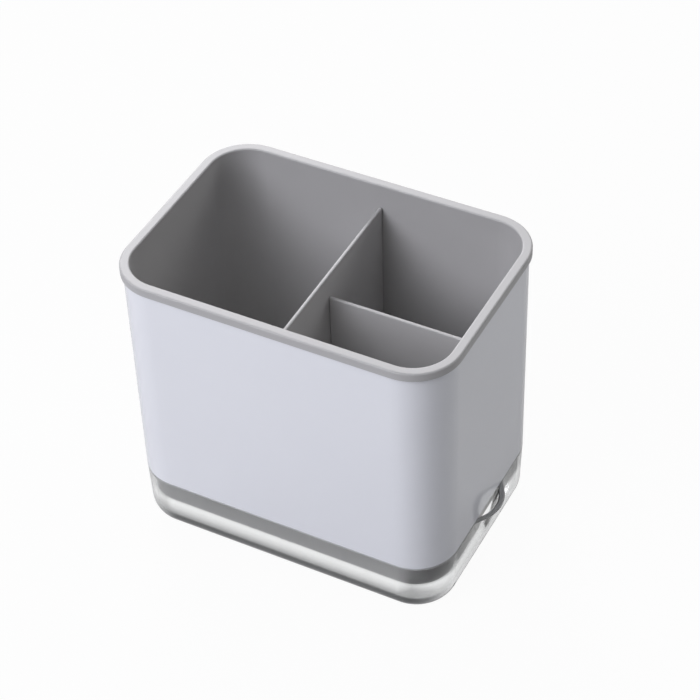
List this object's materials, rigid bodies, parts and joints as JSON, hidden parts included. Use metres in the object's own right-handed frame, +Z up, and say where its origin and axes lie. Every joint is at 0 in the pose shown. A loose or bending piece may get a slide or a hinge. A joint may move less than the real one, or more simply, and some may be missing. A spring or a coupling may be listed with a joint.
{
  "type": "cutlery drainer",
  "caption": "Box-shaped cutlery drainer: a grey basket with lift-out dividers hangs in a white shell that stands on a clear drip tray with a pouring spout.",
  "frame": {"origin": "middle of the drip tray's underside, on the surface that it stands on", "axes": "+Z up, +X along the long side towards the pouring spout, +Y towards the back"},
  "size_m": [0.1491, 0.1, 0.135],
  "materials": {
    "clear_plastic": "clear moulded plastic, polished",
    "white_plastic": "glossy white moulded plastic",
    "grey_plastic": "satin grey moulded plastic"
  },
  "bodies": {
    "drip_tray": {"drip_tray": "clear_plastic"},
    "outer_shell": {"outer_shell": "white_plastic"},
    "basket": {"basket": "grey_plastic"},
    "long_divider": {"long_divider": "grey_plastic"},
    "cross_divider": {"cross_divider": "grey_plastic"}
  },
  "joints": [
    {"name": "shell_lift", "type": "slide", "parent": "drip_tray", "child": "outer_shell", "axis": [0, 0, 1], "range_m": [0, 0.04]},
    {"name": "basket_lift", "type": "slide", "parent": "outer_shell", "child": "basket", "axis": [0, 0, 1], "range_m": [0, 0.125]},
    {"name": "long_divider_lift", "type": "slide", "parent": "basket", "child": "long_divider", "axis": [0, 0, 1], "range_m": [0, 0.125]},
    {"name": "cross_divider_lift", "type": "slide", "parent": "basket", "child": "cross_divider", "axis": [0, 0, 1], "range_m": [0, 0.125]}
  ]
}
